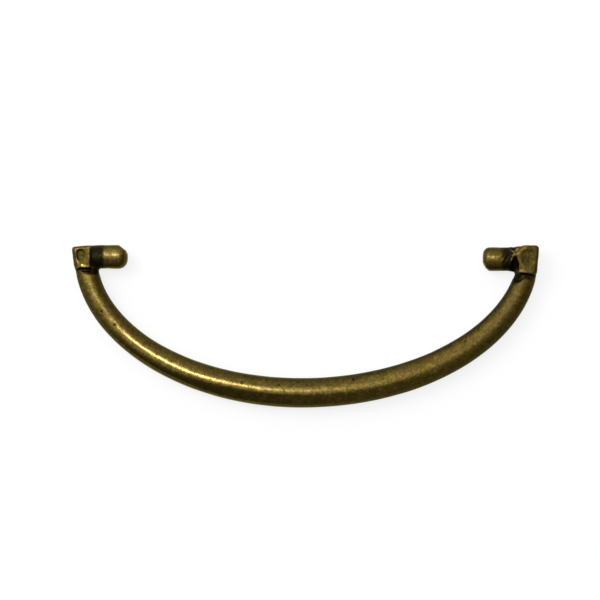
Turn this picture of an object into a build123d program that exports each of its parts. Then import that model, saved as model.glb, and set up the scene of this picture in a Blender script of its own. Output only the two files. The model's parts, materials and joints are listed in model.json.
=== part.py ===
"""Hoop handle: a cast brass bail with a tapered bow and a pin turned inward at each end.

The hoop lies on its back, as it rests on a table. X runs along the pins, Y from the bow's
lowest point up to the pins, and Z from the back up to the raised pads on the knuckles.
The origin is at the middle of the hoop's footprint, at the height of its back.
Sizes are in millimetres. A rise or a drop is measured from the pins' shared axis, and an
inset from the outermost edge of the hoop at that end.
"""
from build123d import *
from math import asin, cos, degrees, pi, radians, sin, tan
import os

# Overall
overall_width = 93.4

# Pins: turned at the tip, with a root that tapers to a collar beside the knuckle
pin_diameter = 4.8
pin_tip_inset = 11.2
left_tip_rounding = 1.85
right_tip_rounding = 1.4
left_root_inset = 5.4
right_root_inset = 6.3
left_collar_inset = 4.0
right_collar_inset = 4.3
left_collar_diameter = 4.6
right_collar_diameter = 5.45
left_butt_diameter = 4.0
right_butt_diameter = 5.2
butt_rounding = 0.6

# Bow: its centreline is two quarter ellipses that meet at the lowest point
bow_drop = 26.97
low_point_shift = -0.98
left_arm_rise = 27.45
right_arm_rise = 28.5
left_arm_inset = 2.79
right_arm_inset = 2.02
stations_per_arm = 9

# Bow: its oval section
bow_width = 6.03
left_end_width = 4.65
left_end_flare = 0.35
right_end_width = 4.2
right_arm_fullness = 2.65
bow_depth = 5.55
bow_end_depth = 4.3

# Pads: squared blocks that stand proud on the front, with bevelled edges, and rise to their feet
pad_rise = 3.1
left_pad_shoulder_rise = 1.9
right_pad_shoulder_rise = 2.65
left_pad_width = 3.93
left_pad_inner_rise = 2.36
left_pad_outer_rise = 2.0
left_pad_drop = 2.36
left_foot_inset = 0.5
left_facet_length = 1.5
left_facet_dip = 0.3
left_inner_bevel = 0.15
left_outer_bevel = 1.0
left_foot_bevel = 1.2
left_top_bevel = 0.5
left_corner_rounding = 0.5
right_pad_top_rise = 2.86
right_pad_shoulder_inset = 3.3
right_pad_point_inset = 4.98
right_pad_point_rise = 1.05
right_pad_waist_inset = 4.3
right_pad_waist_drop = 1.0
right_pad_inner_drop = 2.75
right_pad_outer_drop = 3.25
right_foot_inset = 0.45
right_facet_length = 1.7
right_facet_dip = 0.2
right_inner_bevel = 1.1
right_outer_bevel = 0.75
right_top_bevel = 0.5
right_corner_rounding = 0.75

# Slight round of the lip at each pad's foot
lip_bevel = 0.15

# Shallow sunk fields in the pads
left_field_depth = 0.3
left_field_length = 2.4
left_field_width = 1.7
left_field_inset = 1.95
left_field_rise = 0.35
right_field_depth = 0.16
right_field_length = 2.7
right_field_width = 2.2
right_field_inset = 2.4
right_field_rise = 0.46
right_field_rounding = 0.35

# Groove across the front of the bow, at the foot of each pad
groove_width = 1.1
groove_floor_rise = 1.5

# File cuts in the right pin, which meet in a ridge beside the pad's point
file_cut_ridge = 0.35
file_cut_top_rise = 2.2
file_cut_length = 5.0
upper_cut_slope = 68
upper_cut_angle = 92
lower_cut_slope = 32
lower_cut_angle = 76

# Values that follow from the sizes above
pin_radius = pin_diameter / 2
outer_x = overall_width / 2
tip_x = outer_x - pin_tip_inset
pivot_y = (bow_drop + bow_width / 2 - right_pad_top_rise) / 2
pivot_z = bow_depth / 2
left_reach = outer_x + low_point_shift - left_arm_inset
right_reach = outer_x - low_point_shift - right_arm_inset

plan = Plane((0, pivot_y, pivot_z))
pin_axis = Axis((0, pivot_y, pivot_z), (1, 0, 0))


def left_arm_width(share):
    """Width at a share of the left arm's length: an even swell from the end to the low point."""
    flare = left_end_flare if share == 1 else 0
    return left_end_width + (bow_width - left_end_width) * cos(share * pi / 2) ** 2 + flare


def right_arm_width(share):
    """Width at a share of the right arm's length: full for longer, then a quicker taper."""
    return bow_width - (bow_width - right_end_width) * share**right_arm_fullness


def arm_depth(share):
    """Depth at a share of an arm's length, from the low point to the end inside the knuckle."""
    return bow_end_depth + (bow_depth - bow_end_depth) * cos(share * pi / 2) ** 2


def arm_centreline(reach, rise, side):
    """Centreline of one arm: its ellipse between the pins' axis and the low point."""
    end_angle = degrees(asin((rise - bow_drop) / rise))
    with BuildLine() as arm:
        EllipticalCenterArc(
            (low_point_shift, pivot_y - bow_drop + rise, pivot_z),
            reach,
            rise,
            start_angle=270 if side > 0 else 180 + end_angle,
            arc_size=90 - end_angle,
        )
    return arm.wires()[0]


def left_pad_outline(level, bevel):
    """Outline of the left pad at one height, drawn in by a share of its bevels."""
    inner = -outer_x + left_pad_width - bevel * left_inner_bevel
    foot = -left_pad_drop + bevel * lip_bevel
    with BuildSketch(plan.offset(level)) as outline:
        with BuildLine():
            Polyline(
                (inner, left_pad_inner_rise - bevel * left_top_bevel),
                (-outer_x + bevel * left_outer_bevel, left_pad_outer_rise - bevel * left_top_bevel),
                (-outer_x + left_foot_inset + bevel * left_foot_bevel, foot),
                (inner, foot),
                close=True,
            )
        make_face()
        fillet(vertices().sort_by(Axis.X)[0], left_corner_rounding)
    return outline.sketch


def right_pad_outline(level, bevel):
    """Outline of the right pad at one height: filed to a point beside the pin."""
    side = bevel * right_inner_bevel
    outer = outer_x - bevel * right_outer_bevel
    top = right_pad_top_rise - bevel * right_top_bevel
    with BuildSketch(plan.offset(level)) as outline:
        with BuildLine():
            Polyline(
                (outer_x - right_pad_shoulder_inset + side, top),
                (outer_x - right_pad_point_inset + side, right_pad_point_rise),
                (outer_x - right_pad_waist_inset + side, -right_pad_waist_drop),
                (outer_x - right_pad_waist_inset + side, -right_pad_inner_drop + bevel * lip_bevel),
                (outer - right_foot_inset, -right_pad_outer_drop + bevel * lip_bevel),
                (outer, top),
                close=True,
            )
        make_face()
        fillet(vertices().sort_by(Axis.X)[-1], right_corner_rounding)
    return outline.sketch


def dip_section(drop, length, dip):
    """What a file takes off a pad's front, in side view: it leaves a slope up to the lip at the foot."""
    with BuildSketch(Plane.YZ.offset(-outer_x)) as section:
        with BuildLine():
            Polyline(
                (pivot_y - drop, pivot_z + pad_rise),
                (pivot_y - drop + length, pivot_z + pad_rise - dip),
                (pivot_y + 2 * pad_rise, pivot_z + pad_rise - dip),
                (pivot_y + 2 * pad_rise, pivot_z + 2 * pad_rise),
                (pivot_y - drop, pivot_z + 2 * pad_rise),
                close=True,
            )
        make_face()
    return section.sketch


def outer_face_outline(side, top_rise, foot_inset, drop):
    """Plan of what is filed off outside a knuckle, so that its outer face slants in to the foot."""
    with BuildSketch(Plane.XY) as outline:
        with BuildLine():
            Polyline(
                (side * outer_x, pivot_y + 2 * pin_diameter),
                (side * outer_x, pivot_y + top_rise),
                (side * (outer_x - foot_inset), pivot_y - drop),
                (side * (outer_x + pin_radius), pivot_y - drop),
                (side * (outer_x + pin_radius), pivot_y + 2 * pin_diameter),
                close=True,
            )
        make_face()
    return outline.sketch


def groove_section(right_foot, left_foot):
    """Section of a groove that runs along a pad's foot: upright under the pad, then sloping out."""
    direction = Vector(*left_foot) - Vector(*right_foot)
    origin = (right_foot[0], pivot_y + right_foot[1], pivot_z)
    with BuildSketch(Plane(origin, x_dir=(direction.Y, direction.X, 0), z_dir=direction)) as section:
        with BuildLine():
            Polyline(
                (0, 2 * pad_rise),
                (0, groove_floor_rise),
                (groove_width / 2, groove_floor_rise),
                (groove_width, pin_radius),
                (groove_width, 2 * pad_rise),
                close=True,
            )
        make_face()
    return section.sketch


def file_section(side, slope, angle):
    """Three-cornered section of a file, square to a stroke that slopes down one side of the pin."""
    stroke = Vector(0, side * cos(radians(slope)), -sin(radians(slope)))
    start_y = pivot_y + right_pad_point_rise + side * file_cut_ridge / 2
    start = (outer_x - right_pad_point_inset, start_y, pivot_z + file_cut_top_rise)
    half_width = pin_radius * tan(radians(angle / 2))
    with BuildSketch(Plane(start, x_dir=(-side, 0, 0), z_dir=stroke)) as section:
        with BuildLine():
            Polyline((0, 0), (half_width, pin_radius), (-half_width, pin_radius), close=True)
        make_face()
    return section.sketch


def pin_profile(side, root_inset, collar_inset, collar_diameter, butt_diameter, tip_rounding):
    """Half of a pin's outline, from its rounded butt in the knuckle to its rounded tip."""
    with BuildSketch(plan) as profile:
        with BuildLine():
            Polyline(
                (side * outer_x, 0),
                (side * outer_x, butt_diameter / 2),
                (side * (outer_x - collar_inset), collar_diameter / 2),
                (side * (outer_x - root_inset), pin_radius),
                (side * tip_x, pin_radius),
                (side * tip_x, 0),
                close=True,
            )
        make_face()
        fillet(vertices().group_by(Axis.X)[0 if side > 0 else -1].sort_by(Axis.Y)[-1], tip_rounding)
        fillet(vertices().group_by(Axis.X)[-1 if side > 0 else 0].sort_by(Axis.Y)[-1], butt_rounding)
    return profile.sketch


# The bow, lofted through oval sections that stand square to its centreline
left_arm = arm_centreline(left_reach, left_arm_rise, -1)
right_arm = arm_centreline(right_reach, right_arm_rise, 1)
with BuildPart() as bow:
    for station in range(stations_per_arm):
        share = 1 - station / stations_per_arm
        with BuildSketch(Plane(left_arm @ (1 - share), x_dir=(0, 0, 1), z_dir=left_arm % (1 - share))):
            Ellipse(arm_depth(share) / 2, left_arm_width(share) / 2)
    for station in range(stations_per_arm + 1):
        share = station / stations_per_arm
        with BuildSketch(Plane(right_arm @ share, x_dir=(0, 0, 1), z_dir=right_arm % share)):
            Ellipse(arm_depth(share) / 2, right_arm_width(share) / 2)
    loft()

# The pins, whose tapered roots run through the knuckles to the hoop's outer edge
with BuildPart() as left_pin:
    left_root = (left_root_inset, left_collar_inset, left_collar_diameter, left_butt_diameter)
    revolve(pin_profile(-1, *left_root, left_tip_rounding), axis=pin_axis)

with BuildPart() as right_pin:
    right_root = (right_root_inset, right_collar_inset, right_collar_diameter, right_butt_diameter)
    revolve(pin_profile(1, *right_root, right_tip_rounding), axis=pin_axis)

# The pads: an upright block, then bevels up to the flat front with its sunk field
with BuildPart() as left_pad:
    extrude(left_pad_outline(0, 0), amount=left_pad_shoulder_rise)
    loft([left_pad_outline(left_pad_shoulder_rise, 0), left_pad_outline(pad_rise, 1)], ruled=True)
    dip = dip_section(left_pad_drop, left_facet_length, left_facet_dip)
    extrude(dip, amount=overall_width, mode=Mode.SUBTRACT)
    with BuildSketch(plan.offset(pad_rise - left_facet_dip)):
        with Locations((-outer_x + left_field_inset, left_field_rise)):
            SlotOverall(left_field_length, left_field_width, rotation=90)
    extrude(amount=-left_field_depth, mode=Mode.SUBTRACT)

with BuildPart() as right_pad:
    extrude(right_pad_outline(0, 0), amount=right_pad_shoulder_rise)
    loft([right_pad_outline(right_pad_shoulder_rise, 0), right_pad_outline(pad_rise, 1)], ruled=True)
    dip = dip_section(right_pad_inner_drop, right_facet_length, right_facet_dip)
    extrude(dip, amount=overall_width, mode=Mode.SUBTRACT)
    with BuildSketch(plan.offset(pad_rise - right_facet_dip)):
        with Locations((outer_x - right_field_inset, right_field_rise)):
            RectangleRounded(right_field_width, right_field_length, right_field_rounding)
    extrude(amount=-right_field_depth, mode=Mode.SUBTRACT)

# The knuckles' outer faces, filed at a slant
with BuildPart() as outer_faces:
    for side, top_rise, foot_inset, drop in (
        (-1, left_pad_outer_rise, left_foot_inset, left_pad_drop),
        (1, right_pad_top_rise, right_foot_inset, right_pad_outer_drop),
    ):
        extrude(outer_face_outline(side, top_rise, foot_inset, drop), amount=2 * bow_depth)

# The grooves at the pads' feet
left_foot_ends = (
    (-outer_x + left_pad_width, -left_pad_drop),
    (-outer_x + left_foot_inset, -left_pad_drop),
)
right_foot_ends = (
    (outer_x - right_foot_inset, -right_pad_outer_drop),
    (outer_x - right_pad_waist_inset, -right_pad_inner_drop),
)
with BuildPart() as grooves:
    extrude(groove_section(*left_foot_ends), amount=left_root_inset, both=True)
    extrude(groove_section(*right_foot_ends), amount=right_root_inset, both=True)

# The strokes of the file that cut into the right pin
with BuildPart() as upper_file_cut:
    extrude(file_section(1, upper_cut_slope, upper_cut_angle), amount=file_cut_length)

with BuildPart() as lower_file_cut:
    extrude(file_section(-1, lower_cut_slope, lower_cut_angle), amount=file_cut_length)

# The whole casting
with BuildPart() as hoop_handle:
    add(bow.part)
    add(left_pin.part)
    add(right_pin.part)
    add(outer_faces.part, mode=Mode.SUBTRACT)
    add(grooves.part, mode=Mode.SUBTRACT)
    add(upper_file_cut.part, mode=Mode.SUBTRACT)
    add(lower_file_cut.part, mode=Mode.SUBTRACT)
    add(left_pad.part)
    add(right_pad.part)

hoop_handle.part.label = "hoop_handle"
os.makedirs("parts", exist_ok=True)
export_step(hoop_handle.part, "parts/hoop_handle.step")
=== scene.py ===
"""Hoop handle in antique cast brass, dressed for its render.

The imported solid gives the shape. Its mesh is copied, joined and remade as one even skin, and
then worked as the real one was: the casting's faint waves, pits from the sand, flats from a
hand file, brown patina in the hollows and bright metal where fingers rub.

Sizes are in millimetres, and places on the hoop are measured from the middle of the pins'
shared axis, unless a line says otherwise. A Span says where a smooth change starts and ends.
"""

import json
import logging
import math
from collections.abc import Iterable
from dataclasses import dataclass, field
from enum import Enum
from functools import reduce

import bmesh
import bpy
import numpy as np
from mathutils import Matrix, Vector, noise


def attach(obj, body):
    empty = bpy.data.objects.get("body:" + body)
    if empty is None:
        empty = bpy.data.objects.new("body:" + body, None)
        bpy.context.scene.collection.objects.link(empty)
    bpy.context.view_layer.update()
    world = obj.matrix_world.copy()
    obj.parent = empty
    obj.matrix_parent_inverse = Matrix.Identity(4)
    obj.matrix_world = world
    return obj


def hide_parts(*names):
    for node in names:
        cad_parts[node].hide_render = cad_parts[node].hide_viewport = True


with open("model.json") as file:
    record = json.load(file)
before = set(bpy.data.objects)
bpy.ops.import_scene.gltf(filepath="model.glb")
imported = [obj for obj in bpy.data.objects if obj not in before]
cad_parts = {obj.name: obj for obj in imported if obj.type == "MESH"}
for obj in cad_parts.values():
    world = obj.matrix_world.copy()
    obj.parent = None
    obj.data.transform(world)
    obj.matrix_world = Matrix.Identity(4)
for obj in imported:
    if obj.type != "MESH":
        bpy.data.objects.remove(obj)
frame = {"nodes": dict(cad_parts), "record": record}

LOG = logging.getLogger("hoop_handle")
MM = 0.001
CAD_NODE = "hoop_handle"
PIECE = "cast_hoop"
BODY = "root"

Span = tuple[float, float]
Point = tuple[float, float]
Place = tuple[float, float, float]
Tree = bpy.types.NodeTree
Socket = bpy.types.NodeSocket
Sources = dict[Enum, Socket]

# How far a normal rises on the front of the hoop, and towards the crown of a bar
FRONT = 0.1
CROWN: Span = (0.2, 0.6)
# Rub may reach this much, and the mesh keeps it as a share of that
MOST_RUB = 2.0
# Settings that several nodes share
ADD = {"operation": "ADD"}
MULTIPLY = {"operation": "MULTIPLY"}
MULTIPLY_ADD = {"operation": "MULTIPLY_ADD"}
COLOURS = {"data_type": "RGBA"}
SMOOTH = {"interpolation_type": "SMOOTHSTEP"}
# Sockets of a colour Mix node go by number, because their names repeat
MIX_SHARE, MIX_A, MIX_B, MIX_OUT = 0, 6, 7, 2


class Trace(Enum):
    """What the years left on each point of the skin, with painted highlights and painted shade among
    them, kept as attributes of the mesh.
    """

    RUB_AND_HIGHLIGHT = "rub_and_highlight"
    GRIME_AND_SHADE = "grime_and_shade"
    POLISH = "polish"
    BLUSH = "blush"


class Pattern(Enum):
    """Random patterns over the metal: a patch's real size, detail, roughness and distortion.

    Patina comes and goes in clouds, with a finer mottle and speckle in them. The rubbed metal
    is golden in some spots and browner in others, and the mould's coarse sand left its grain.
    """

    CLOUD = (5.0, 3.0, 0.6, 0.0)
    MOTTLE = (1.1, 4.0, 0.65, 0.0)
    SPECKLE = (0.44, 3.0, 0.7, 0.0)
    HUE = (1.9, 3.0, 0.7, 0.6)
    GRAIN = (0.28, 2.0, 0.6, 0.0)


def linear_colour(code: str) -> tuple[float, float, float, float]:
    """Turns an sRGB hex colour into the linear values that a shader takes.

    Args:
        code: six hex digits, such as "7a6a38".

    Returns:
        Red, green and blue in linear light, and an alpha of 1.
    """
    parts = [int(code[i : i + 2], 16) / 255 for i in (0, 2, 4)]
    linear = [p / 12.92 if p <= 0.04045 else ((p + 0.055) / 1.055) ** 2.4 for p in parts]
    return (linear[0], linear[1], linear[2], 1.0)


def add_node(
    tree: Tree,
    kind: str,
    settings: dict | None = None,
    values: dict | None = None,
    links: dict | None = None,
) -> bpy.types.Node:
    """Adds one node with its settings, its own numbers and what feeds it.

    Args:
        tree: the node tree that gets the node.
        kind: the node's type name.
        settings: the node's properties by name.
        values: numbers or colours by input socket.
        links: output sockets of other nodes by input socket.

    Returns:
        The new node.
    """
    node = tree.nodes.new(kind)
    for name, value in (settings or {}).items():
        setattr(node, name, value)
    for socket, value in (values or {}).items():
        node.inputs[socket].default_value = value
    for socket, source in (links or {}).items():
        tree.links.new(source, node.inputs[socket])
    return node


def ease(values: np.ndarray, start: float, end: float) -> np.ndarray:
    """Smooth rise from 0 at start to 1 at end."""
    share = np.clip((values - start) / (end - start), 0.0, 1.0)
    return share * share * (3.0 - 2.0 * share)


def unit(facing: Place) -> np.ndarray:
    """The same direction with a length of 1."""
    direction = np.array(facing, float)
    return direction / np.linalg.norm(direction)


class Skin:
    """The casting's surface as arrays, which the tools press, cut and measure."""

    def __init__(self, mesh: bpy.types.Mesh, pivot: Vector) -> None:
        """Takes up a mesh.

        Args:
            mesh: the mesh, in metres in the row frame.
            pivot: the middle of the pins' axis, in metres.
        """
        self.mesh = mesh
        self.pivot = np.array(pivot, float)
        ends = np.zeros(len(mesh.edges) * 2, np.int32)
        mesh.edges.foreach_get("vertices", ends)
        self.edge_a, self.edge_b = ends[0::2], ends[1::2]
        self.valence = np.bincount(ends, minlength=len(mesh.vertices)).astype(float)
        self.read()

    def read(self) -> None:
        """Reads places and normals from the mesh."""
        count = len(self.mesh.vertices)
        places = np.zeros(count * 3, np.float32)
        self.mesh.vertices.foreach_get("co", places)
        self.place = (places.reshape(-1, 3).astype(float) - self.pivot) / MM
        normals = np.zeros(count * 3, np.float32)
        self.mesh.vertex_normals.foreach_get("vector", normals)
        self.normal = normals.reshape(-1, 3).astype(float)

    def write(self) -> None:
        """Writes the places back to the mesh and reads its new normals."""
        places = self.place * MM + self.pivot
        self.mesh.vertices.foreach_set("co", places.astype(np.float32).ravel())
        self.mesh.update()
        self.read()

    def press(self, depth: np.ndarray) -> None:
        """Presses each point straight inward by its own depth."""
        self.place -= self.normal * depth[:, None]

    def spread(self, values: np.ndarray, rounds: int) -> np.ndarray:
        """Averages values with those of their neighbours.

        Args:
            values: one number or one row of numbers for each point.
            rounds: how many times to average.

        Returns:
            The averaged values.
        """
        out = values.astype(float).copy()
        columns = out.reshape(len(out), -1)
        for _ in range(rounds):
            for k in range(columns.shape[1]):
                column = columns[:, k]
                total = np.bincount(self.edge_a, column[self.edge_b], len(column))
                total += np.bincount(self.edge_b, column[self.edge_a], len(column))
                columns[:, k] = (column + total / self.valence) / 2.0
        return out

    def bulge(self, rounds: int) -> np.ndarray:
        """How far each point stands out of its surroundings, below 0 in a hollow."""
        return ((self.place - self.spread(self.place, rounds)) * self.normal).sum(axis=1)

    def waves(self, length: float, seed: float) -> np.ndarray:
        """Soft random waves over the skin.

        Args:
            length: about the distance between crests.
            seed: a shift that gives other waves.

        Returns:
            A number from about -1 to 1 for each point.
        """
        shift = Vector((seed, -seed, 2.0 * seed))
        return np.array([noise.noise(Vector(p) / length + shift) for p in self.place])

    def strongest(self, shares: Iterable[np.ndarray]) -> np.ndarray:
        """The largest of some shares at each point, or 0 where there are none."""
        return reduce(np.maximum, shares, np.zeros(len(self.place)))

    def keep(self, trace: Trace, values: np.ndarray) -> None:
        """Keeps values from 0 to 1 on the mesh, as an attribute that the finish reads."""
        attribute = self.mesh.attributes.new(trace.value, "FLOAT", "POINT")
        attribute.data.foreach_set("value", np.clip(values, 0.0, 1.0).astype(np.float32))


@dataclass
class Marks:
    """What the years left on each point so far, with painted highlights in the rub and painted shade
    in the grime, from 0 to 1, and more where rub bares the metal.
    """

    rub_and_highlight: np.ndarray
    grime_and_shade: np.ndarray
    polish: np.ndarray
    blush: np.ndarray

    def keep(self, skin: Skin) -> None:
        """Keeps the marks on the mesh, with rub and grime blurred a little.

        Args:
            skin: the casting's skin.
        """
        skin.keep(Trace.RUB_AND_HIGHLIGHT, skin.spread(self.rub_and_highlight, 1) / MOST_RUB)
        skin.keep(Trace.GRIME_AND_SHADE, skin.spread(self.grime_and_shade, 1))
        skin.keep(Trace.POLISH, self.polish)
        skin.keep(Trace.BLUSH, self.blush)


@dataclass(frozen=True)
class Waves:
    """Faint waves that the mould left: from crest to crest, how deep, and which random ones."""

    length: float
    depth: float
    seed: float

    def dip(self, skin: Skin) -> np.ndarray:
        """How deep each point lies in the waves."""
        return self.depth * (0.5 + 0.5 * skin.waves(self.length, self.seed))


@dataclass(frozen=True)
class Pit:
    """A hole in the front, as a grain of sand leaves it."""

    x: float
    y: float
    width: float
    depth: float
    wall_power: float = 1.5
    out_of_reach: float = 9.0

    def away(self, skin: Skin) -> np.ndarray:
        """Distance from the hole's middle, where 1 is its rim, and far for what isn't in front."""
        away = np.hypot(skin.place[:, 0] - self.x, skin.place[:, 1] - self.y) / (self.width / 2.0)
        return np.where(skin.normal[:, 2] > FRONT, away, self.out_of_reach)

    def cut(self, skin: Skin) -> None:
        """Presses the hole into the skin."""
        skin.press(self.depth * np.clip(1.0 - self.away(skin) ** 2, 0.0, 1.0) ** self.wall_power)


@dataclass(frozen=True)
class Nick:
    """A short groove across the front, as the edge of a file leaves it."""

    start: Point
    end: Point
    width: float
    depth: float
    end_loss: float = 0.6

    def share(self, skin: Skin) -> np.ndarray:
        """How deep each point of the front is in the groove.

        Args:
            skin: the casting's skin.

        Returns:
            For each point 1 on the groove's line halfway along, and 0 outside the groove.
        """
        start = np.array(self.start)
        line = np.array(self.end) - start
        offset = skin.place[:, :2] - start
        along = np.clip(offset @ line / (line @ line), 0.0, 1.0)
        away = np.linalg.norm(offset - along[:, None] * line, axis=1) / (self.width / 2.0)
        deep = np.clip(1.0 - away**2, 0.0, 1.0) * (1.0 - self.end_loss * (2.0 * along - 1.0) ** 2)
        return deep * (skin.normal[:, 2] > FRONT)

    def cut(self, skin: Skin) -> None:
        """Presses the groove into the skin."""
        skin.press(self.depth * self.share(skin))


@dataclass(frozen=True)
class FileFlat:
    """One stroke of a file: near its middle, what stood above its plane is gone."""

    middle: Place
    facing: Place
    reach: float
    deepest: float = 1.0

    def cut(self, skin: Skin) -> None:
        """Lowers the skin to the plane, within reach of its middle and no deeper than one stroke.

        Args:
            skin: the casting's skin.
        """
        facing = unit(self.facing)
        offset = skin.place - np.array(self.middle)
        above = np.clip(offset @ facing, 0.0, None)
        near = np.linalg.norm(offset - np.outer(offset @ facing, facing), axis=1) < self.reach
        skin.place -= np.outer(above * (near & (above < self.deepest)), facing)


@dataclass(frozen=True)
class Facet:
    """A spot on the front that rubbing left flat, which the knuckle also paints bright as a
    highlight.
    """

    x: float
    y: float
    size: float
    facing: Place
    depth: float = 0.03
    upright: float = 0.3
    flat_part: float = 0.25

    def share(self, skin: Skin) -> np.ndarray:
        """How near each point is to the spot: 1 in its middle and 0 outside."""
        away = np.hypot(skin.place[:, 0] - self.x, skin.place[:, 1] - self.y) / self.size
        return (1.0 - ease(away, 0.0, 1.0)) * (skin.normal[:, 2] > self.upright)

    def cut(self, skin: Skin) -> None:
        """Lowers the spot to a plane a little below its highest point.

        Args:
            skin: the casting's skin.
        """
        facing = unit(self.facing)
        height = skin.place @ facing
        inside = self.share(skin) > self.flat_part
        above = np.clip(height - (height[inside].max() - self.depth), 0.0, None)
        skin.place -= np.outer(above * inside, facing)


@dataclass(frozen=True)
class AntiqueBrass:
    """Cast brass that darkened by itself over many years and was rubbed by hands.

    To the eye it is olive brown with a deep, soft gloss. The crown is paler and yellower where
    the patina is thin, and a painted highlight adds to that. Hollows are nearly black with dirt,
    with painted shade under each pad and in a notch, and a trace of wax gives a pale glint.
    """

    golden: str = "665917"
    tan: str = "654e27"
    # Bare metal on worn edges and scratches, and the painted highlights on the crown and the flat
    # spots
    bare_metal_and_highlight: str = "b39c5c"
    blush: str = "ab875f"
    patina: str = "201c06"
    olive: str = "2b2a0c"
    grime_and_shade: str = "171104"
    edge_tint: str = "f6ecc8"

    # How the patterns and the rub together wear the patina through, and then bare the metal, which on
    # the crown and the flat spots is partly a painted highlight
    patina_hold: float = 1.0
    mottle_wear: float = 0.9
    speckle_wear: float = 1.1
    worn: Span = (0.0, 1.0)
    bare: Span = (0.7, 1.6)
    browner: Span = (0.28, 0.72)

    # How ragged the edge of the dirt and painted shade is, and where they hide the metal
    ragged: float = 0.5
    dirt_and_shade_cover: Span = (0.2, 0.9)

    # Roughness, and what the polish, the mottle, and the dirt and painted shade do to it
    smooth_roughness: float = 0.14
    dull_roughness: float = 0.47
    mottle_roughness: float = 0.12
    cover_roughness: float = 0.2
    speckle_levels: Span = (0.35, 0.6)
    polish_levels: Span = (0.75, 1.15)
    wax: float = 0.07
    wax_roughness: float = 0.2

    # Heights of the finest relief
    lump_height: float = 0.016
    speck_height: float = 0.01
    grain_height: float = 0.004

    def material(self) -> bpy.types.Material:
        """Makes the material.

        Returns:
            The material, with a Principled shader on Object coordinates and the traces.
        """
        made = bpy.data.materials.new("antique_cast_brass")
        made.use_nodes = True
        tree = made.node_tree
        tree.nodes.clear()
        given = self.sources(tree)
        metal = self.metal(tree, given)
        dirt_and_shade = self.dirt_and_shade(tree, given)
        colour = add_node(
            tree,
            "ShaderNodeMix",
            COLOURS,
            {MIX_B: linear_colour(self.grime_and_shade)},
            {MIX_SHARE: dirt_and_shade, MIX_A: metal},
        )
        shader = add_node(
            tree,
            "ShaderNodeBsdfPrincipled",
            values={
                "Metallic": 1.0,
                "Specular Tint": linear_colour(self.edge_tint),
                "Coat Weight": self.wax,
                "Coat Roughness": self.wax_roughness,
            },
            links={
                "Base Color": colour.outputs[MIX_OUT],
                "Roughness": self.roughness(tree, given, dirt_and_shade),
                "Normal": self.relief(tree, given),
            },
        )
        add_node(tree, "ShaderNodeOutputMaterial", links={"Surface": shader.outputs[0]})
        return made

    def sources(self, tree: Tree) -> Sources:
        """Adds what the finish reads.

        Args:
            tree: the material's node tree.

        Returns:
            The strength of each trace on the mesh and of each pattern over the metal.
        """
        given: Sources = {}
        for trace in Trace:
            kept = add_node(tree, "ShaderNodeAttribute", {"attribute_name": trace.value})
            given[trace] = kept.outputs["Fac"]
        where = add_node(tree, "ShaderNodeTexCoord").outputs["Object"]
        for pattern in Pattern:
            size, detail, roughness, distortion = pattern.value
            values = {
                "Scale": 1.0 / (size * MM),
                "Detail": detail,
                "Roughness": roughness,
                "Distortion": distortion,
            }
            drawn = add_node(tree, "ShaderNodeTexNoise", values=values, links={"Vector": where})
            given[pattern] = drawn.outputs["Fac"]
        return given

    def metal(self, tree: Tree, given: Sources) -> Socket:
        """Colours the metal: dark patina, brass where that is rubbed thin, and bare metal on edges,
        which on the crown and the flat spots is also a painted highlight.

        Args:
            tree: the material's node tree.
            given: the traces and patterns.

        Returns:
            The metal's colour, without the dirt and painted shade.
        """
        rub_and_highlight = add_node(tree, "ShaderNodeMath", MULTIPLY, {1: MOST_RUB}, {0: given[Trace.RUB_AND_HIGHLIGHT]})
        uneven = add_node(
            tree,
            "ShaderNodeMath",
            MULTIPLY_ADD,
            {1: self.mottle_wear, 2: -self.patina_hold},
            {0: given[Pattern.MOTTLE]},
        )
        fine = add_node(
            tree,
            "ShaderNodeMath",
            MULTIPLY_ADD,
            {1: self.speckle_wear},
            {0: given[Pattern.SPECKLE], 2: uneven.outputs[0]},
        )
        thin = add_node(tree, "ShaderNodeMath", ADD, links={0: rub_and_highlight.outputs[0], 1: fine.outputs[0]})
        worn, bare, browner = (
            add_node(
                tree,
                "ShaderNodeMapRange",
                SMOOTH,
                {"From Min": span[0], "From Max": span[1]},
                {"Value": level},
            ).outputs[0]
            for span, level in (
                (self.worn, thin.outputs[0]),
                (self.bare, thin.outputs[0]),
                (self.browner, given[Pattern.HUE]),
            )
        )
        ground, rubbed, edge = (
            add_node(
                tree,
                "ShaderNodeMix",
                COLOURS,
                {MIX_A: linear_colour(first), MIX_B: linear_colour(second)},
                {MIX_SHARE: share},
            ).outputs[MIX_OUT]
            for first, second, share in (
                (self.patina, self.olive, given[Pattern.CLOUD]),
                (self.golden, self.tan, browner),
                (self.bare_metal_and_highlight, self.blush, given[Trace.BLUSH]),
            )
        )
        brass = add_node(
            tree, "ShaderNodeMix", COLOURS, links={MIX_SHARE: worn, MIX_A: ground, MIX_B: rubbed}
        )
        edged = add_node(
            tree,
            "ShaderNodeMix",
            COLOURS,
            links={MIX_SHARE: bare, MIX_A: brass.outputs[MIX_OUT], MIX_B: edge},
        )
        return edged.outputs[MIX_OUT]

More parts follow.
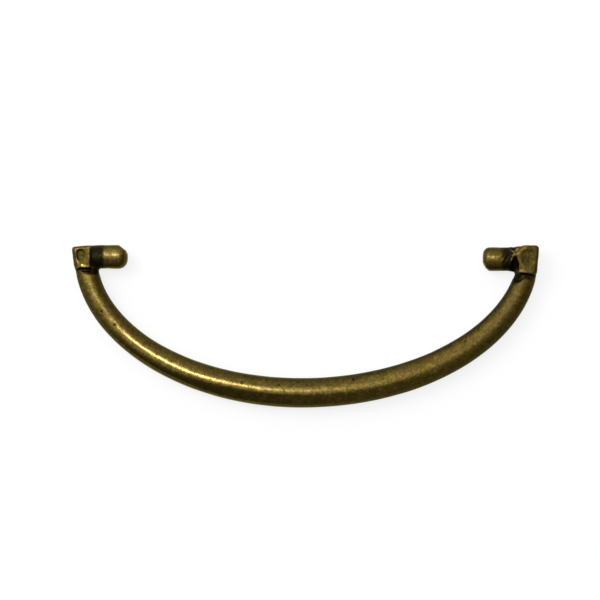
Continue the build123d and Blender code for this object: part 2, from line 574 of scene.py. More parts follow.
    def dirt_and_shade(self, tree: Tree, given: Sources) -> Socket:
        """Fills the hollows with dirt, and the places of painted shade with the same dark, with a
        ragged edge.

        Args:
            tree: the material's node tree.
            given: the traces and patterns.

        Returns:
            How far dirt and painted shade hide the metal.
        """
        ragged = add_node(
            tree,
            "ShaderNodeMath",
            MULTIPLY_ADD,
            {1: self.ragged, 2: -self.ragged / 2.0},
            {0: given[Pattern.MOTTLE]},
        )
        dirt_and_shade_level = add_node(
            tree, "ShaderNodeMath", ADD, links={0: given[Trace.GRIME_AND_SHADE], 1: ragged.outputs[0]}
        )
        dirt_and_shade_cover = add_node(
            tree,
            "ShaderNodeMapRange",
            SMOOTH,
            {"From Min": self.dirt_and_shade_cover[0], "From Max": self.dirt_and_shade_cover[1]},
            {"Value": dirt_and_shade_level.outputs[0]},
        )
        return dirt_and_shade_cover.outputs[0]

    def roughness(self, tree: Tree, given: Sources, dirt_and_shade: Socket) -> Socket:
        """Makes the metal smooth where it is polished, with fine spots that break up the gloss.

        Args:
            tree: the material's node tree.
            given: the traces and patterns.
            dirt_and_shade: how far dirt and painted shade hide the metal.

        Returns:
            The roughness.
        """
        spots = add_node(
            tree,
            "ShaderNodeMapRange",
            values={
                "From Min": self.speckle_levels[0],
                "From Max": self.speckle_levels[1],
                "To Min": self.polish_levels[0],
                "To Max": self.polish_levels[1],
            },
            links={"Value": given[Pattern.SPECKLE]},
        )
        broken = add_node(
            tree, "ShaderNodeMath", MULTIPLY, links={0: given[Trace.POLISH], 1: spots.outputs[0]}
        )
        gloss = add_node(
            tree,
            "ShaderNodeMapRange",
            values={"To Min": self.dull_roughness, "To Max": self.smooth_roughness},
            links={"Value": broken.outputs[0]},
        )
        patchy = add_node(
            tree,
            "ShaderNodeMath",
            MULTIPLY_ADD,
            {1: self.mottle_roughness},
            {0: given[Pattern.MOTTLE], 2: gloss.outputs[0]},
        )
        roughness = add_node(
            tree,
            "ShaderNodeMath",
            {"operation": "MULTIPLY_ADD", "use_clamp": True},
            {1: self.cover_roughness},
            {0: dirt_and_shade, 2: patchy.outputs[0]},
        )
        return roughness.outputs[0]

    def relief(self, tree: Tree, given: Sources) -> Socket:
        """Adds relief that is too fine for the mesh: lumps, on them specks, and on those the grain.

        Args:
            tree: the material's node tree.
            given: the traces and patterns.

        Returns:
            The normal.
        """
        links: dict[str, Socket] = {}
        for pattern, height in (
            (Pattern.MOTTLE, self.lump_height),
            (Pattern.SPECKLE, self.speck_height),
            (Pattern.GRAIN, self.grain_height),
        ):
            links["Height"] = given[pattern]
            values = {"Strength": 1.0, "Distance": height * MM}
            links["Normal"] = add_node(tree, "ShaderNodeBump", values=values, links=links).outputs[0]
        return links["Normal"]


@dataclass
class Bow:
    """The hoop's tapered bow: two quarter ellipses that meet at its lowest point.

    Spans along the bow run from its left end, 0, through the low point, 0.5, to its right end, 1.
    """

    drop: float = 26.97
    low_x: float = -0.98
    left_reach: float = 42.93
    right_reach: float = 45.66
    left_rise: float = 27.45
    right_rise: float = 28.5
    least_drop: float = 1e-6
    least_share: float = 0.2

    # The crown leans inward along one stretch, and the outer flank drops off along another
    lean_slope: float = 0.1
    lean_reach: float = 2.4
    lean_rises: Span = (0.33, 0.41)
    lean_falls: Span = (0.52, 0.62)
    flank_slope: float = 0.15
    flank_from: float = 0.3
    flank_fades: Span = (1.3, 2.7)
    flank_rises: Span = (0.28, 0.4)
    flank_falls: Span = (0.66, 0.8)

    # Hands polished the left arm most, and the crown above all, where a painted highlight adds to the
    # rub
    left_end_polish: float = 0.35
    polish_rises: Span = (0.13, 0.24)
    polish_falls: Span = (0.28, 0.68)
    crown_wear_and_highlight: float = 0.35
    crown_top: Span = (0.93, 0.995)
    right_patina: float = 0.12
    right_from: Span = (0.7, 0.85)

    # Pits hold patina and dirt, also a little beyond their rims
    pit_patina: float = 0.4
    pit_grime: float = 0.75
    pit_fades: Span = (0.2, 1.5)
    pits: tuple[Pit, ...] = (
        Pit(-40.5, -10.9, 0.7, 0.06),
        Pit(-37.95, -13.6, 0.8, 0.07),
        Pit(-12.5, -24.9, 0.5, 0.05),
        Pit(-5.1, -25.35, 0.6, 0.08),
        Pit(-1.3, -24.7, 0.45, 0.06),
        Pit(0.5, -25.4, 0.45, 0.05),
        Pit(9.7, -24.15, 0.7, 0.08),
        Pit(10.5, -23.85, 0.45, 0.04),
        Pit(32.0, -16.4, 0.5, 0.06),
        Pit(38.8, -10.8, 0.5, 0.06),
    )

    def arms(self, skin: Skin) -> tuple[np.ndarray, np.ndarray, np.ndarray]:
        """Finds each point's arm.

        Args:
            skin: the casting's skin.

        Returns:
            Each point's distance right of the low point, and its arm's reach and rise.
        """
        x = skin.place[:, 0] - self.low_x
        reach = np.where(x < 0.0, self.left_reach, self.right_reach)
        rise = np.where(x < 0.0, self.left_rise, self.right_rise)
        return x, reach, rise

    def along(self, skin: Skin) -> np.ndarray:
        """Finds how far along the bow each point is.

        Args:
            skin: the casting's skin.

        Returns:
            For each point 0 at the left end, 0.5 at the low point and 1 at the right end.
        """
        x, reach, rise = self.arms(skin)
        y = np.clip(rise - self.drop - skin.place[:, 1], self.least_drop, None)
        angle = np.arctan2(x / reach, y / rise)
        return 0.5 + angle / math.pi

    def inward(self, skin: Skin) -> np.ndarray:
        """Measures how far each point lies from the centreline, in plan.

        Args:
            skin: the casting's skin.

        Returns:
            The distance, more than 0 towards the hoop's inside.
        """
        x, reach, rise = self.arms(skin)
        y = rise - self.drop - skin.place[:, 1]
        share = np.hypot(x / reach, y / rise)
        slope = np.hypot(x / reach**2, y / rise**2) / np.clip(share, self.least_share, None)
        return (1.0 - share) / slope

    def work(self, skin: Skin) -> None:
        """Leans the crown inward in the middle, lets the outer flank drop off, and cuts the pits.

        Args:
            skin: the casting's skin.
        """
        offset = self.inward(skin)
        along = self.along(skin)
        window = np.clip(1.0 - (offset / self.lean_reach) ** 2, 0.0, 1.0) ** 2
        here = ease(along, *self.lean_rises) * (1.0 - ease(along, *self.lean_falls))
        front = ease(skin.normal[:, 2], *CROWN)
        skin.place[:, 2] += self.lean_slope * offset * window * here * front
        drop = np.clip(-offset - self.flank_from, 0.0, None)
        drop *= 1.0 - ease(-offset, *self.flank_fades)
        there = ease(along, *self.flank_rises) * (1.0 - ease(along, *self.flank_falls))
        skin.place[:, 2] -= self.flank_slope * drop * there * front
        for pit in self.pits:
            pit.cut(skin)

    def age(self, skin: Skin, marks: Marks) -> None:
        """Polishes the left arm, rubs its crown with wear and a painted highlight, leaves patina at
        the right end, and fills the pits.

        Args:
            skin: the casting's skin.
            marks: what the years left so far.
        """
        along = self.along(skin)
        rise = self.left_end_polish + (1.0 - self.left_end_polish) * ease(along, *self.polish_rises)
        marks.polish = rise * (1.0 - ease(along, *self.polish_falls))
        # The crown's rub: wear, and a painted highlight along the crown
        marks.rub_and_highlight += self.crown_wear_and_highlight * marks.polish * ease(skin.normal[:, 2], *self.crown_top)
        marks.rub_and_highlight -= self.right_patina * ease(along, *self.right_from)
        pitted = skin.strongest(1.0 - ease(pit.away(skin), *self.pit_fades) for pit in self.pits)
        marks.rub_and_highlight -= self.pit_patina * pitted
        marks.grime_and_shade = np.maximum(marks.grime_and_shade, self.pit_grime * pitted)


@dataclass
class Knuckle:
    """One end: a squared pad over the pin's root, with a groove at its foot.

    The side is -1 on the left and 1 on the right. Places across the hoop are measured outward
    from its middle, and a tilt is how far a normal rises.
    """

    side: int
    pad_inner: float
    foot_inner: Point
    foot_outer: Point
    flats: tuple[FileFlat, ...]
    facets: tuple[Facet, ...]
    nicks: tuple[Nick, ...] = ()
    scratches: tuple[Nick, ...] = ()
    # Notches, each cut in and painted dark as shade
    shade_notches: tuple[Pit, ...] = ()

    # Where the knuckle starts across the hoop, and where it ends, up from the foot
    starts: Span = (38.0, 39.5)
    ends: Span = (-1.6, -0.8)

    # The pad's flat face, by tilt, height and place up from the foot
    face_tilt: Span = (0.9, 0.99)
    face_height: Span = (2.3, 2.5)
    face_foot: Span = (-0.5, 0.0)
    face_patina: float = 0.45

    # The pad with its sunk field, by height, tilt, and place out from its inner edge and foot
    pad_height: Span = (1.6, 2.1)
    pad_tilt: Span = (0.2, 0.5)
    pad_side: Span = (-0.3, 0.0)
    pad_foot: Span = (0.0, 0.2)
    field_calm: float = 0.5

    # The groove, by place down from the foot and from its own lower edge, height, and place
    # outward of the pad's inner edge, and the dirt in it, with painted shade close under the foot
    # and at the inner side
    groove_width: float = 1.1
    groove_starts: Span = (-0.1, 0.1)
    groove_ends: Span = (-0.05, 0.25)
    groove_height: Span = (0.0, 0.6)
    groove_side: Span = (-2.4, -1.2)
    groove_rub: float = 0.35
    groove_grime: float = 0.3
    # Painted shade close under the foot, and dirt with painted shade at the inner side
    foot_shade: Span = (0.15, 0.4)
    inner_grime_and_shade: float = 0.9
    inner_fades: Span = (0.2, 1.4)
    # Painted shade in the notches fades out between these distances, where 1 is a notch's rim
    painted_shade_fades: Span = (0.4, 1.2)

    # The lip at the groove's lower edge and the foot's outer corner, which wear rounded
    lip_reach: float = 0.8
    lip_starts: Span = (-0.75, -0.35)
    lip_ends: Span = (-0.3, 0.3)
    lip_round: float = 0.9
    lip_calm: float = 0.9
    corner_fades: Span = (0.4, 1.1)
    corner_round: float = 0.7

    # Rubbed edges, the painted highlight on the flat spots, and scratches. No finger rubs the outer
    # side
    edge_wear: float = 0.25
    worn_edges: Span = (0.006, 0.03)
    wear_fades: Span = (46.0, 47.0)
    outer_calm: float = 0.8
    painted_highlight_rub: float = 0.6
    spot_polish: Span = (0.0, 0.5)
    scratch_rub: float = 1.2
    scratch_deep: Span = (0.1, 0.8)
    blush: float = 0.3

    def outward(self, skin: Skin) -> np.ndarray:
        """How far each point lies outward of the pad's inner edge."""
        return skin.place[:, 0] * self.side - self.pad_inner

    def below_foot(self, skin: Skin) -> np.ndarray:
        """Measures down from the line of the pad's foot.

        Args:
            skin: the casting's skin.

        Returns:
            How far each point lies below that line.
        """
        x0, y0 = self.foot_inner
        x1, y1 = self.foot_outer
        line = y0 + (skin.place[:, 0] - x0) * (y1 - y0) / (x1 - x0)
        return line - skin.place[:, 1]

    def near(self, skin: Skin) -> np.ndarray:
        """How near each point is to the knuckle: 1 on it, 0 on the bow and the pin's tip."""
        x, y, _ = skin.place.T
        return ease(x * self.side, *self.starts) * ease(y - self.foot_inner[1], *self.ends)

    def face(self, skin: Skin) -> np.ndarray:
        """Finds the flat of the pad's front.

        Args:
            skin: the casting's skin.

        Returns:
            For each point 1 on the pad's face, and 0 on its edges and off it.
        """
        _, y, z = skin.place.T
        front = ease(skin.normal[:, 2], *self.face_tilt) * ease(z, *self.face_height)
        return front * self.near(skin) * ease(y - self.foot_inner[1], *self.face_foot)

    def pad(self, skin: Skin) -> np.ndarray:
        """Finds the front of the pad, with its sunk field.

        Args:
            skin: the casting's skin.

        Returns:
            For each point 1 on the pad, and 0 on the pin and below the foot.
        """
        front = ease(skin.place[:, 2], *self.pad_height) * ease(skin.normal[:, 2], *self.pad_tilt)
        front *= ease(self.outward(skin), *self.pad_side)
        return front * ease(-self.below_foot(skin), *self.pad_foot)

    def groove(self, skin: Skin) -> np.ndarray:
        """Finds the groove below the foot.

        Args:
            skin: the casting's skin.

        Returns:
            For each point 1 in the groove, and 0 elsewhere.
        """
        below = self.below_foot(skin)
        past = below - self.groove_width
        here = ease(below, *self.groove_starts) * (1.0 - ease(past, *self.groove_ends))
        here *= ease(skin.place[:, 2], *self.groove_height)
        return here * ease(self.outward(skin), *self.groove_side)

    def lip(self, skin: Skin) -> np.ndarray:
        """Finds the groove's lower lip.

        Args:
            skin: the casting's skin.

        Returns:
            For each point 1 along the lip, and 0 elsewhere.
        """
        x, _, z = skin.place.T
        past = self.below_foot(skin) - self.groove_width
        lip = ease(past, *self.lip_starts) * (1.0 - ease(past - self.lip_reach, *self.lip_ends))
        return lip * (z > 0.0) * (x * self.side > self.starts[0])

    def corner(self, skin: Skin) -> np.ndarray:
        """The foot's outer corner: 1 around it."""
        away = np.hypot(skin.place[:, 0] - self.foot_outer[0], skin.place[:, 1] - self.foot_outer[1])
        return 1.0 - ease(away, *self.corner_fades)

    def outer(self, skin: Skin) -> np.ndarray:
        """The knuckle's outer part, where no finger rubs: 1 at its outer side."""
        return self.near(skin) * ease(skin.place[:, 0] * self.side, *self.wear_fades)

    def highlight_spot(self, skin: Skin) -> np.ndarray:
        """The flat spots, where a highlight is painted: 1 in the middle of each."""
        return skin.strongest(facet.share(skin) for facet in self.facets)

    def worn_round(self, skin: Skin) -> np.ndarray:
        """How far wear rounded each point: most along the lip and at the corner."""
        return np.maximum(self.lip_round * self.lip(skin), self.corner_round * self.corner(skin))

    def unrubbed(self, skin: Skin) -> np.ndarray:
        """Edges that no finger rubs: along the lip and at the outer side."""
        return np.maximum(self.lip(skin), self.outer_calm * self.outer(skin))

    def blushed(self, skin: Skin) -> np.ndarray:
        """How pink the bare metal is: not on the flat spots, which keep their painted highlight pale.
        """
        return self.blush * self.near(skin) * (1.0 - self.highlight_spot(skin))

    def calmed(self, skin: Skin) -> np.ndarray:
        """Share of a hollow's depth that dirt goes by: less in the sunk field and at the lip."""
        calm = 1.0 - self.field_calm * self.pad(skin)
        return calm * (1.0 - self.lip_calm * self.lip(skin))

    def work(self, skin: Skin) -> None:
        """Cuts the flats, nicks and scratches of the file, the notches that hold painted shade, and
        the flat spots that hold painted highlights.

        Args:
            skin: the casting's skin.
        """
        for cut in self.flats + self.nicks + self.scratches + self.shade_notches + self.facets:
            cut.cut(skin)

    def dirt_and_shade_level(self, skin: Skin) -> np.ndarray:
        """Works out the dirt in the groove, with painted shade added.

        Args:
            skin: the casting's skin.

        Returns:
            Dirt for each point, with painted shade close under the foot and at the inner side.
        """
        foot = 1.0 - ease(self.below_foot(skin), *self.foot_shade)
        inner = self.inner_grime_and_shade * (1.0 - ease(self.outward(skin), *self.inner_fades))
        return np.maximum(self.groove_grime, np.maximum(foot, inner))

    def age(self, skin: Skin, marks: Marks, edge: np.ndarray) -> None:
        """Fills the groove with dirt and painted shade, paints shade into the notches, paints
        highlights on the flat spots, and brightens worn edges.

        Args:
            skin: the casting's skin.
            marks: what the years left so far.
            edge: how far each point stands out of what is close around it.
        """
        groove = self.groove(skin)
        # The groove: dirt, with painted shade close under the foot and at the inner side
        marks.grime_and_shade += (self.dirt_and_shade_level(skin) - marks.grime_and_shade) * groove
        marks.rub_and_highlight += (self.groove_rub - marks.rub_and_highlight) * groove
        # Painted shade in the notches
        painted_shade = (1.0 - ease(notch.away(skin), *self.painted_shade_fades) for notch in self.shade_notches)
        marks.grime_and_shade = np.maximum(marks.grime_and_shade, skin.strongest(painted_shade))
        # Painted highlight on the flat spots, and less patina on the pad's face outside them
        highlight_spot = self.highlight_spot(skin)
        marks.rub_and_highlight += self.painted_highlight_rub * highlight_spot - self.face_patina * self.face(skin) * (1.0 - highlight_spot)
        wear = self.edge_wear * self.near(skin) * (1.0 - self.outer(skin)) * (1.0 - self.lip(skin))
        marks.rub_and_highlight += wear * ease(edge, *self.worn_edges)
        marks.polish = np.maximum(marks.polish, ease(highlight_spot, *self.spot_polish))

    def brighten(self, skin: Skin, marks: Marks) -> None:
        """Bares the metal in the scratches.

        Args:
            skin: the casting's skin.
            marks: what the years left so far.
        """
        bright = (ease(scratch.share(skin), *self.scratch_deep) for scratch in self.scratches)
        scratched = skin.strongest(bright)
        marks.rub_and_highlight = np.maximum(marks.rub_and_highlight, self.scratch_rub * scratched)
        marks.grime_and_shade *= 1.0 - scratched


@dataclass
class Pin:
    """One pin, bright where it turned in its post, and dark beside the knuckle with patina and
    painted shade from the pad.

    The side is -1 on the left and 1 on the right. Places are measured outward from the middle.
    """

    side: int
    turned_ends: Span
    pad_inner: float
    gloss: float
    reach: float = 2.6
    lean_slope: float = 0.12
    lean_reach: float = 2.2
    turned_rub: float = 0.2
    root_rub: float = 0.2
    # Painted shade at the root, beside the pad
    root_shade: float = 0.62

    def is_here(self, skin: Skin) -> np.ndarray:
        """Finds the points that belong to the pin.

        Args:
            skin: the casting's skin.

        Returns:
            True for each point on the pin.
        """
        outward = skin.place[:, 0] * self.side
        radius = np.hypot(skin.place[:, 1], skin.place[:, 2])
        return (outward < self.pad_inner) & (radius < self.reach) & (outward > 0.0)

    def turned(self, skin: Skin) -> np.ndarray:
        """The part that turned in its post: 1 on it, and 0 beside the knuckle."""
        return 1.0 - ease(skin.place[:, 0] * self.side, *self.turned_ends)

    def work(self, skin: Skin) -> None:
        """Leans the pin's crown to the top, as the file left it a little out of round.

        Args:
            skin: the casting's skin.
        """
        y = skin.place[:, 1]
        window = np.clip(1.0 - (y / self.lean_reach) ** 2, 0.0, 1.0) ** 2
        front = ease(skin.normal[:, 2], *CROWN)
        here = self.turned(skin) * self.is_here(skin)
        skin.place[:, 2] += self.lean_slope * y * window * front * here

    def age(self, skin: Skin, marks: Marks) -> None:
        """Rubs and polishes the turned part, and darkens the root with patina and painted shade.

        Args:
            skin: the casting's skin.
            marks: what the years left so far.
        """
        here = self.is_here(skin)
        turned = self.turned(skin)
        rub_and_highlight = marks.rub_and_highlight * (self.root_rub + (1.0 - self.root_rub) * turned) + self.turned_rub * turned
        # The root's dark: painted shade from the pad
        grime_and_shade = np.maximum(marks.grime_and_shade, self.root_shade * (1.0 - turned))
        polish = np.maximum(marks.polish, self.gloss * turned)
        marks.rub_and_highlight = np.where(here, rub_and_highlight, marks.rub_and_highlight)
        marks.grime_and_shade = np.where(here, grime_and_shade, marks.grime_and_shade)
        marks.polish = np.where(here, polish, marks.polish)


@dataclass
class CastHoop:
    """The whole casting: bow, knuckles and pins, as one skin.

    Rounds say how many times a value is averaged with its neighbours'.
    """

    weld: float = 0.0005
    voxel: float = 0.19
    soften_rounds: int = 4
    soften_share: float = 0.5

    # The casting's waves, which are calmer on the turned pins, and dents on the knuckles
    swell: Waves = Waves(7.0, 0.05, 3.1)
    ripple: Waves = Waves(1.6, 0.02, 8.7)
    dents: Waves = Waves(1.1, 0.08, 5.3)
    pin_calm: float = 0.8
    pin_calm_rounds: int = 8
    worn_rounds: int = 36

    # Rubbing by how far the front faces up, how an edge stands out and how deep a hollow is
    edge_rounds: int = 6
    hollow_rounds: int = 24
    hollow_blur_rounds: int = 2
    least_rub: float = 0.05
    front_rub: float = 0.75
    front_rises: Span = (0.35, 1.0)
    edge_rub: float = 0.6
    edge_stands: Span = (0.018, 0.05)
    hollow_patina: float = 0.8
    patina_sinks: Span = (0.0, 0.1)
    hollow_grime: float = 0.75
    grime_sinks: Span = (0.02, 0.16)

    bow: Bow = field(default_factory=Bow)
    knuckles: tuple[Knuckle, ...] = (
        Knuckle(
            side=-1,
            pad_inner=42.77,
            foot_inner=(-42.77, -2.36),
            foot_outer=(-46.2, -2.36),
            flats=(
                FileFlat((-36.6, 1.8, 0.0), (0.61, 0.79, 0.0), 4.0),
                FileFlat((-35.74, 0.95, 0.0), (0.88, 0.47, 0.0), 1.4),
            ),
            # Flat spots, painted bright as highlights
            facets=(
                Facet(-44.05, -2.0, 0.55, (0.032, 0.074, 0.99)),
                Facet(-44.4, -1.7, 0.4, (0.032, 0.074, 0.99)),
            ),
        ),
        Knuckle(
            side=1,
            pad_inner=42.4,
            foot_inner=(42.4, -2.75),
            foot_outer=(46.25, -3.25),
            flats=(
                FileFlat((35.9, -1.33, 0.0), (-0.9, -0.44, 0.0), 1.3),
                FileFlat((36.39, -2.01, 0.0), (-0.7, -0.71, 0.0), 1.1),
            ),
            # Flat spots, the second on the pin, painted bright as highlights
            facets=(
                Facet(43.0, -2.35, 0.6, (-0.08, 0.073, 0.99), 0.02),
                Facet(37.35, 0.5, 0.38, (-0.08, 0.073, 0.99), 0.02),
            ),
            nicks=(
                Nick((40.8, 1.5), (39.6, -0.8), 0.55, 0.2),
                Nick((41.3, 0.6), (40.4, -1.0), 0.5, 0.16),
                Nick((40.0, 1.5), (39.0, -0.1), 0.45, 0.12),
            ),
            scratches=(
                Nick((41.75, 1.35), (40.95, -0.3), 0.45, 0.02),
                Nick((40.9, 1.95), (41.75, 1.25), 0.35, 0.02),
                Nick((41.9, 1.45), (42.55, 2.3), 0.5, 0.01),
            ),
            # A notch, painted dark as shade
            shade_notches=(Pit(41.45, 2.0, 1.3, 0.35),),
            lip_reach=1.4,
            field_calm=0.55,
            wear_fades=(43.8, 45.0),
            face_patina=0.2,
            blush=0.8,
        ),
    )
    pins: tuple[Pin, ...] = (
        Pin(side=-1, turned_ends=(39.9, 40.6), pad_inner=42.77, gloss=0.6),
        Pin(side=1, turned_ends=(38.6, 39.8), pad_inner=41.6, gloss=0.45),
    )

    def build(self, node: bpy.types.Object, pivot: Vector) -> bpy.types.Object:
        """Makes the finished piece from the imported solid.

        Args:
            node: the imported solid's object, which is left as it is.
            pivot: the middle of the pins' axis, in metres.

        Returns:
            The new piece.
        """
        piece = self.copy_solid(node)
        self.remake(piece)
        skin = Skin(piece.data, pivot)
        self.work(skin)
        self.age(skin)
        return piece

    def copy_solid(self, node: bpy.types.Object) -> bpy.types.Object:
        """Copies the solid's mesh and joins its loose triangles.

        Args:
            node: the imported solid's object.

        Returns:
            A new object with one closed mesh.
        """
        mesh = bpy.data.meshes.new(PIECE)
        solid = bmesh.new()
        solid.from_mesh(node.data)
        bmesh.ops.remove_doubles(solid, verts=solid.verts, dist=self.weld * MM)
        solid.to_mesh(mesh)
        solid.free()
        piece = bpy.data.objects.new(PIECE, mesh)
        bpy.context.scene.collection.objects.link(piece)
        return piece

    def remake(self, piece: bpy.types.Object) -> None:
        """Remakes the mesh as an even skin and softens its edges, as wear did.

        Args:
            piece: the object with the closed mesh.
        """
        remesh = piece.modifiers.new("even_skin", "REMESH")
        remesh.mode = "VOXEL"
        remesh.voxel_size = self.voxel * MM
        remesh.use_smooth_shade = True
        seen = piece.evaluated_get(bpy.context.evaluated_depsgraph_get())
        even = bpy.data.meshes.new_from_object(seen)
        piece.modifiers.clear()
        skin = bmesh.new()
        skin.from_mesh(even)
        for _ in range(self.soften_rounds):
            bmesh.ops.smooth_vert(
                skin,
                verts=skin.verts,
                factor=self.soften_share,
                use_axis_x=True,
                use_axis_y=True,
                use_axis_z=True,
            )
        for face in skin.faces:
            face.smooth = True
        skin.to_mesh(piece.data)
        skin.free()
        bpy.data.meshes.remove(even)
        piece.data.update()
        LOG.info("even skin: %d points, %d faces", len(piece.data.vertices), len(piece.data.polygons))

    def work(self, skin: Skin) -> None:
        """Gives the skin the casting's waves and pits, its worn corners and the cuts of the file.

        Args:
            skin: the casting's skin.
        """
        on_pins = skin.strongest(pin.is_here(skin) for pin in self.pins)
        calm = 1.0 - self.pin_calm * skin.spread(on_pins, self.pin_calm_rounds)
        skin.press((self.swell.dip(skin) + self.ripple.dip(skin)) * calm)
        skin.write()
        self.bow.work(skin)
        dents = self.dents.dip(skin)
        soft = skin.spread(skin.place, self.worn_rounds)
        for knuckle in self.knuckles:
            skin.press(dents * knuckle.near(skin))
            skin.place += (soft - skin.place) * knuckle.worn_round(skin)[:, None]
        for pin in self.pins:
            pin.work(skin)
        for knuckle in self.knuckles:
            knuckle.work(skin)
        skin.write()

    def age(self, skin: Skin) -> None:
        """Works out rubbing, dirt, painted shade and highlights, and polish for each point, and keeps
        them on the mesh.

        Args:
            skin: the casting's skin.
        """
        edge = skin.bulge(self.edge_rounds)
        marks = self.first_marks(skin, edge)
        self.bow.age(skin, marks)
        for knuckle in self.knuckles:
            knuckle.age(skin, marks, edge)
        for pin in self.pins:
            pin.age(skin, marks)
        for knuckle in self.knuckles:
            knuckle.brighten(skin, marks)
        marks.keep(skin)

    def first_marks(self, skin: Skin, edge: np.ndarray) -> Marks:
        """Marks the whole skin by its form alone.

        Args:
            skin: the casting's skin.
            edge: how far each point stands out of what is close around it.

        Returns:
            Rub on the front and on edges, dirt in hollows, and the knuckles' blush.
        """
        hollow = -skin.spread(skin.bulge(self.hollow_rounds), self.hollow_blur_rounds)
        for knuckle in self.knuckles:
            hollow *= knuckle.calmed(skin)
        unrubbed = skin.strongest(knuckle.unrubbed(skin) for knuckle in self.knuckles)
        rub_and_highlight = self.least_rub + self.front_rub * ease(skin.normal[:, 2], *self.front_rises)
        rub_and_highlight += self.edge_rub * ease(edge, *self.edge_stands) * (1.0 - unrubbed)
        rub_and_highlight -= self.hollow_patina * ease(hollow, *self.patina_sinks)
        return Marks(
            rub_and_highlight=rub_and_highlight,
            grime_and_shade=self.hollow_grime * ease(hollow, *self.grime_sinks),
            polish=np.zeros(len(rub_and_highlight)),
            blush=skin.strongest(knuckle.blushed(skin) for knuckle in self.knuckles),
        )

    def dress(self, piece: bpy.types.Object, finish: AntiqueBrass) -> None:
        """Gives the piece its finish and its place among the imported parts.

        Args:
            piece: the finished piece.
            finish: the metal's finish.
        """
        piece.data.materials.clear()
        piece.data.materials.append(finish.material())
        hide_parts(CAD_NODE)
        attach(piece, BODY)


@dataclass(frozen=True)
class PaleCard:
    """White card under the handle, matt and plain to the eye."""

    colour: str = "868686"
    lift: float = 0.79

    def material(self) -> bpy.types.Material:
        """Makes the card's material, which keeps the handle's shadow.

        Returns:
            A matt white, with a steady share of its brightness for the eye and for mirrors.
        """
        made = bpy.data.materials.new("white_card")
        made.use_nodes = True
        tree = made.node_tree
        tree.nodes.clear()
        path = add_node(tree, "ShaderNodeLightPath")
        seen = add_node(
            tree,
            "ShaderNodeMath",
            ADD,
            links={0: path.outputs["Is Camera Ray"], 1: path.outputs["Is Glossy Ray"]},
        )
        reached = add_node(
            tree,
            "ShaderNodeMath",
            {"operation": "ADD", "use_clamp": True},
            links={0: seen.outputs[0], 1: path.outputs["Is Transmission Ray"]},
        )
        lift = add_node(tree, "ShaderNodeMath", MULTIPLY, {1: self.lift}, {0: reached.outputs[0]})
        matt = add_node(tree, "ShaderNodeBsdfDiffuse", values={"Color": linear_colour(self.colour)})
        glow = add_node(
            tree,
            "ShaderNodeEmission",
            values={"Color": linear_colour("ffffff")},
            links={"Strength": lift.outputs[0]},
        )
        both = add_node(tree, "ShaderNodeAddShader", links={0: matt.outputs[0], 1: glow.outputs[0]})
        add_node(tree, "ShaderNodeOutputMaterial", links={"Surface": both.outputs[0]})
        return made


@dataclass(frozen=True)
class Softbox:
    """A soft lamp, aimed at the middle of the hoop. Its place and size are in metres."""

    name: str
    place: Place
    width: float
    height: float
    brightness: float

    def light(self) -> None:
        """Adds the lamp. Brightness is the radiance of its face."""
        data = bpy.data.lights.new(self.name, "AREA")
        data.shape = "RECTANGLE"
        data.size = self.width
        data.size_y = self.height
        data.energy = self.brightness * math.pi * self.width * self.height
        lamp = bpy.data.objects.new(self.name, data)
        lamp.location = self.place
        lamp.rotation_euler = (-Vector(self.place)).to_track_quat("-Z", "Y").to_euler()
        lamp.visible_camera = False
        bpy.context.scene.collection.objects.link(lamp)


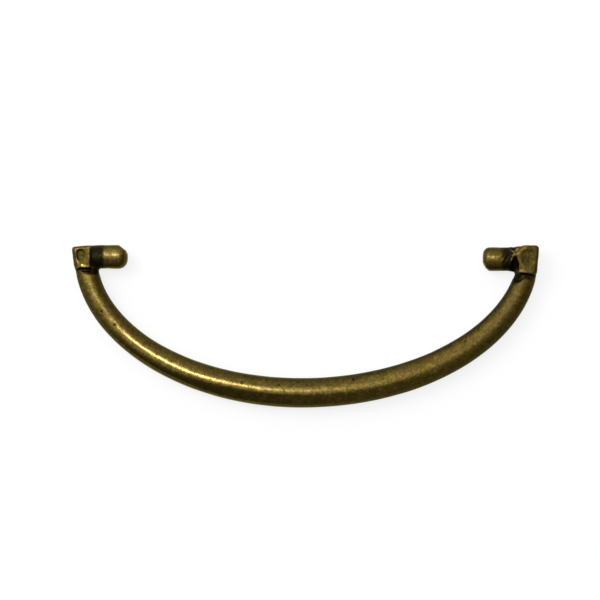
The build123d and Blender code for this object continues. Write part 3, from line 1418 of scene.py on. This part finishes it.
@dataclass
class Studio:
    """Pale floor, soft lamps, a plain room and the camera. Places and widths are in metres."""

    floor_size: float = 8.0
    card: PaleCard = field(default_factory=PaleCard)
    lamps: tuple[Softbox, ...] = (
        Softbox("key_softbox", (-0.05, 0.125, 0.9), 0.19, 0.19, 11.0),
        Softbox("side_softbox", (-0.46, 0.34, 0.7), 0.4, 0.4, 4.8),
    )

    # The room's walls, from the dark side to the bright side that this direction points to
    bright_wall: float = 1.1
    dark_wall: float = 0.15
    bright_side: Place = (-0.5, 0.72, 0.48)
    wall_levels: Span = (-0.2, 1.0)

    # The camera, with its roll in degrees and its sensor in millimetres
    camera_x: float = -0.00102
    camera_y: float = 0.00516
    camera_height: float = 0.6
    subject_height: float = 0.002775
    roll: float = 0.338
    picture_width: float = 0.12
    sensor: float = 36.0

    def build(self) -> None:
        """Builds the whole studio."""
        self.floor()
        for lamp in self.lamps:
            lamp.light()
        self.room()
        self.camera()
        LOG.info("studio: floor, %d softboxes, room and camera", len(self.lamps))

    def floor(self) -> None:
        """Lays the floor at the height of the hoop's back."""
        mesh = bpy.data.meshes.new("pale_floor")
        plane = bmesh.new()
        bmesh.ops.create_grid(plane, x_segments=1, y_segments=1, size=self.floor_size / 2.0)
        plane.to_mesh(mesh)
        plane.free()
        floor = bpy.data.objects.new("pale_floor", mesh)
        floor.data.materials.append(self.card.material())
        bpy.context.scene.collection.objects.link(floor)

    def room(self) -> None:
        """Makes the room: paler on one side, darker on the other."""
        world = bpy.data.worlds.new("plain_room")
        world.use_nodes = True
        bpy.context.scene.world = world
        tree = world.node_tree
        tree.nodes.clear()
        direction = add_node(tree, "ShaderNodeTexCoord").outputs["Generated"]
        toward = add_node(
            tree,
            "ShaderNodeVectorMath",
            {"operation": "DOT_PRODUCT"},
            {1: Vector(self.bright_side).normalized()},
            {0: direction},
        )
        level = add_node(
            tree,
            "ShaderNodeMapRange",
            SMOOTH,
            {
                "From Min": self.wall_levels[0],
                "From Max": self.wall_levels[1],
                "To Min": self.dark_wall,
                "To Max": self.bright_wall,
            },
            {"Value": toward.outputs["Value"]},
        )
        wall = add_node(
            tree,
            "ShaderNodeBackground",
            values={"Color": linear_colour("ffffff")},
            links={"Strength": level.outputs[0]},
        )
        add_node(tree, "ShaderNodeOutputWorld", links={"Surface": wall.outputs[0]})

    def camera(self) -> None:
        """Sets the camera straight above, with the picture's small turn."""
        data = bpy.data.cameras.new("camera")
        data.sensor_width = self.sensor
        data.lens = self.sensor * self.camera_height / self.picture_width
        camera = bpy.data.objects.new("camera", data)
        camera.location = (self.camera_x, self.camera_y, self.camera_height + self.subject_height)
        camera.rotation_euler = (0.0, 0.0, math.radians(self.roll))
        bpy.context.scene.collection.objects.link(camera)
        bpy.context.scene.camera = camera


def main() -> None:
    """Builds the hoop and the studio around it."""
    logging.basicConfig(level=logging.INFO, format="%(name)s: %(message)s")
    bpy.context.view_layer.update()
    mounts = frame["record"]["mounts"]
    pivot = Vector(mounts[0]["pos_m"])
    pivot.x = 0.0
    hoop = CastHoop()
    piece = hoop.build(frame["nodes"][CAD_NODE], pivot)
    hoop.dress(piece, AntiqueBrass())
    LOG.info("%s replaces %s", piece.name, CAD_NODE)
    Studio().build()
    bpy.context.scene.view_settings.view_transform = "Standard"


if __name__ == "__main__":
    main()
